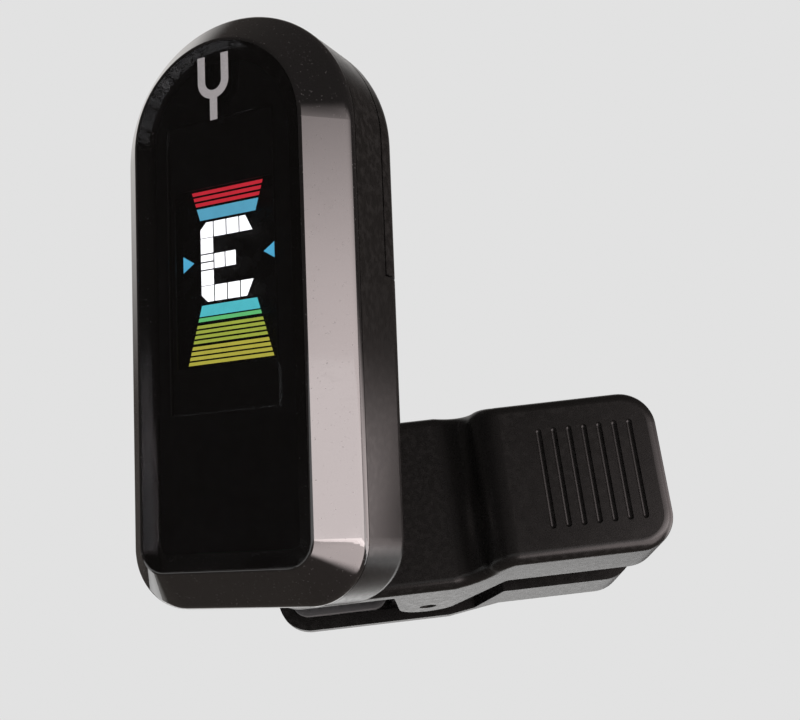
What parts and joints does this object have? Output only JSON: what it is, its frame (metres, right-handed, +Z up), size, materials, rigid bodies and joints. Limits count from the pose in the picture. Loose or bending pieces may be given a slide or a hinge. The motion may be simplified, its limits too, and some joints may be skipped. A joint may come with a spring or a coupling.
{
  "type": "clip on tuner",
  "caption": "Clip-on instrument tuner: round-topped colour-display head on a swivel in front of a sprung jaw clip with finger levers and soft pads.",
  "frame": {"origin": "centre of the front jaw pad's gripping face", "axes": "+Y is that pad's outward normal, into the jaw gap; +X runs from the jaws to the finger levers; +Z runs up along the clip's hinge pin, square to both"},
  "size_m": [0.0563, 0.0588, 0.058],
  "materials": {
    "front_shell": "gloss",
    "window": "gloss",
    "rear_shell": "satin",
    "clip_plastic": "satin",
    "swivel_plastic": "satin",
    "mask_ink": "matte",
    "lcd_glass": "gloss",
    "light_guide": "gloss",
    "elastomer": "matte",
    "board": "satin",
    "chips": "satin",
    "brass": "satin",
    "piezo_coating": "matte",
    "lead_sheath": "matte",
    "nickel": "satin",
    "steel": "satin",
    "washer_nylon": "satin",
    "pad_rubber": "matte"
  },
  "bodies": {
    "clip": {"front_arm": "clip_plastic", "front_pad": "pad_rubber", "hinge_pin": "steel", "torsion_spring": "steel", "base_rivet": "steel"},
    "rear_jaw": {"rear_arm": "clip_plastic", "rear_pad": "pad_rubber", "spring_rear_leg": "steel"},
    "base": {"swivel_base": "swivel_plastic", "tilt_pin": "steel"},
    "knuckle": {"swivel_knuckle": "swivel_plastic", "pan_washers": "washer_nylon", "tilt_washers": "washer_nylon"},
    "head": {"front_case": "front_shell", "lens_window": "window", "display_mask": "mask_ink", "lcd_panel": "lcd_glass", "backlight": "light_guide", "lcd_connectors": "elastomer", "circuit_board": "board", "board_components": "chips", "tact_switches": "chips", "piezo_disc": "brass", "piezo_ceramic": "piezo_coating", "piezo_wires": "lead_sheath", "coin_cell": "nickel", "negative_contact": "nickel", "positive_contact": "nickel", "rear_case": "rear_shell", "case_screws": "steel", "pan_pin": "steel"},
    "door": {"battery_door": "rear_shell"},
    "power_key": {"power_button": "rear_shell"},
    "up_key": {"up_button": "rear_shell"},
    "down_key": {"down_button": "rear_shell"}
  },
  "joints": [
    {"name": "jaw_hinge", "type": "hinge", "parent": "clip", "child": "rear_jaw", "pos_m": [0.0106, 0.007, 0], "axis": [0, 0, 1], "range_deg": [-14, 42], "stiffness_Nm_per_rad": 0.12},
    {"name": "base_turn", "type": "hinge", "parent": "clip", "child": "base", "pos_m": [0, 0, 0], "axis": [0, 1, 0], "range_deg": [-29.6, 20.4]},
    {"name": "head_tilt", "type": "hinge", "parent": "base", "child": "knuckle", "pos_m": [0, -0.009, 0], "axis": [0.9968, 0, -0.0802], "range_deg": [-19.8, 13.2]},
    {"name": "head_pan", "type": "hinge", "parent": "knuckle", "child": "head", "pos_m": [-0.00009, -0.01448, -0.00114], "axis": [0.0785, -0.2045, 0.9757], "range_deg": [-18, 68]},
    {"name": "door_release", "type": "slide", "parent": "head", "child": "door", "axis": [0.4671, 0.8722, 0.1452], "range_m": [0, 0.008]},
    {"name": "power_press", "type": "slide", "parent": "head", "child": "power_key", "axis": [0.8807, -0.4444, -0.164], "range_m": [0, 0.0005], "stiffness_N_per_m": 600},
    {"name": "up_press", "type": "slide", "parent": "head", "child": "up_key", "axis": [0.8807, -0.4444, -0.164], "range_m": [0, 0.0005], "stiffness_N_per_m": 600},
    {"name": "down_press", "type": "slide", "parent": "head", "child": "down_key", "axis": [0.8807, -0.4444, -0.164], "range_m": [0, 0.0005], "stiffness_N_per_m": 600}
  ]
}
